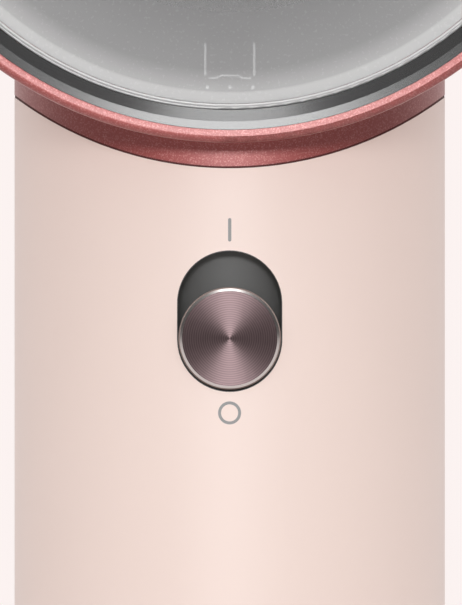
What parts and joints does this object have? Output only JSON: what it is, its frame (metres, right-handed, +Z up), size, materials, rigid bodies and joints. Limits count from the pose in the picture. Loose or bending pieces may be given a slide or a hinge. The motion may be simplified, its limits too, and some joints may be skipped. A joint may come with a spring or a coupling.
{
  "type": "hot air brush",
  "caption": "Paddle-type hot air brush: a straight round handle with a slide switch carries a round head with a window in front and a cushioned bristle pad behind.",
  "frame": {"origin": "on the handle's axis, in the plane of the base face, at the mouth of the cord gland's bore", "axes": "+Z up along the handle to the head; -Y is the side of the switch and the window; +Y is the bristle side"},
  "size_m": [0.0786, 0.0666, 0.2411],
  "materials": {
    "sleeve_pink": "satin pearl pink coat",
    "rose_metal": "rose metallic, fine sparkle",
    "bezel_grey": "polished grey",
    "trim_bright": "bright thin ring",
    "window_smoke": "frosted smoke grey",
    "light_plate": "diffusing white",
    "circuit_board": "solder mask",
    "status_light": "clear white",
    "dark_plastic": "fine moulded grain",
    "shutter_grey": "satin dark grey",
    "cap_metal": "turned, mauve brown anodised",
    "cushion_rubber": "matt soft rubber",
    "bristle_nylon": "smooth nylon",
    "chassis_plastic": "glass-filled plastic",
    "heat_steel": "thin sheet",
    "mica": "pressed mica",
    "heating_wire": "bare resistance wire",
    "cutout_case": "stamped",
    "switch_black": "moulded",
    "lever_white": "moulded",
    "fan_plastic": "moulded",
    "mount_rubber": "soft rubber",
    "motor_steel": "drawn can",
    "stator_copper": "laminated, copper wound",
    "magnet": "sintered",
    "steel": "ground",
    "mesh_steel": "woven wire",
    "gland_rubber": "fine grain"
  },
  "bodies": {
    "housing": {"head_shell": "rose_metal", "bezel_ring": "bezel_grey", "trim_ring": "trim_bright", "window_disc": "window_smoke", "light_plate": "light_plate", "status_board": "circuit_board", "status_lights": "status_light", "air_guide": "dark_plastic", "vent_plate": "dark_plastic", "vent_plate_screws": "steel", "heat_sensor": "mica", "brush_ring": "rose_metal", "cushion_pad": "cushion_rubber", "bristle_row_1": "bristle_nylon", "bristle_row_2": "bristle_nylon", "bristle_row_3": "bristle_nylon", "bristle_row_4": "bristle_nylon", "bristle_row_5": "bristle_nylon", "bristle_row_6": "bristle_nylon", "bristle_row_7": "bristle_nylon", "bristle_row_8": "bristle_nylon", "bristle_row_9": "bristle_nylon", "handle_sleeve": "sleeve_pink", "chassis_tube": "chassis_plastic", "heat_shield": "heat_steel", "heater_frame": "mica", "heater_coils": "heating_wire", "thermal_cutout": "cutout_case", "control_board": "circuit_board", "slide_switch": "switch_black", "tact_switches": "switch_black", "fan_shroud": "fan_plastic", "motor_mount": "mount_rubber", "motor_can": "motor_steel", "motor_stator": "stator_copper", "motor_bearings": "steel", "base_hub": "chassis_plastic", "hub_screws": "steel", "gland_ring": "steel"},
    "slider": {"slider_cap": "cap_metal", "slider_shutter": "shutter_grey", "switch_lever": "lever_white"},
    "speed_button": {"speed_button": "cap_metal"},
    "heat_button": {"heat_button": "cap_metal"},
    "rotor": {"impeller": "fan_plastic", "motor_shaft": "steel", "motor_magnet": "magnet"},
    "filter": {"filter_cage": "rose_metal", "filter_mesh": "mesh_steel"},
    "gland": {"cord_gland": "gland_rubber"}
  },
  "joints": [
    {"name": "power_slide", "type": "slide", "parent": "housing", "child": "slider", "axis": [0, 0, 1], "range_m": [0, 0.0034]},
    {"name": "speed_press", "type": "slide", "parent": "housing", "child": "speed_button", "axis": [0, 1, 0], "range_m": [0, 0.0007], "stiffness_N_per_m": 900},
    {"name": "heat_press", "type": "slide", "parent": "housing", "child": "heat_button", "axis": [0, 1, 0], "range_m": [0, 0.0007], "stiffness_N_per_m": 900},
    {"name": "fan_spin", "type": "hinge", "parent": "housing", "child": "rotor", "pos_m": [0, 0, 0.052], "axis": [0, 0, 1], "continuous": true},
    {"name": "filter_twist", "type": "hinge", "parent": "housing", "child": "filter", "pos_m": [0, 0, 0.019], "axis": [0, 0, 1], "range_deg": [0, 20]},
    {"name": "cord_swivel", "type": "hinge", "parent": "housing", "child": "gland", "pos_m": [0, 0, 0.006], "axis": [0, 0, 1], "continuous": true}
  ]
}
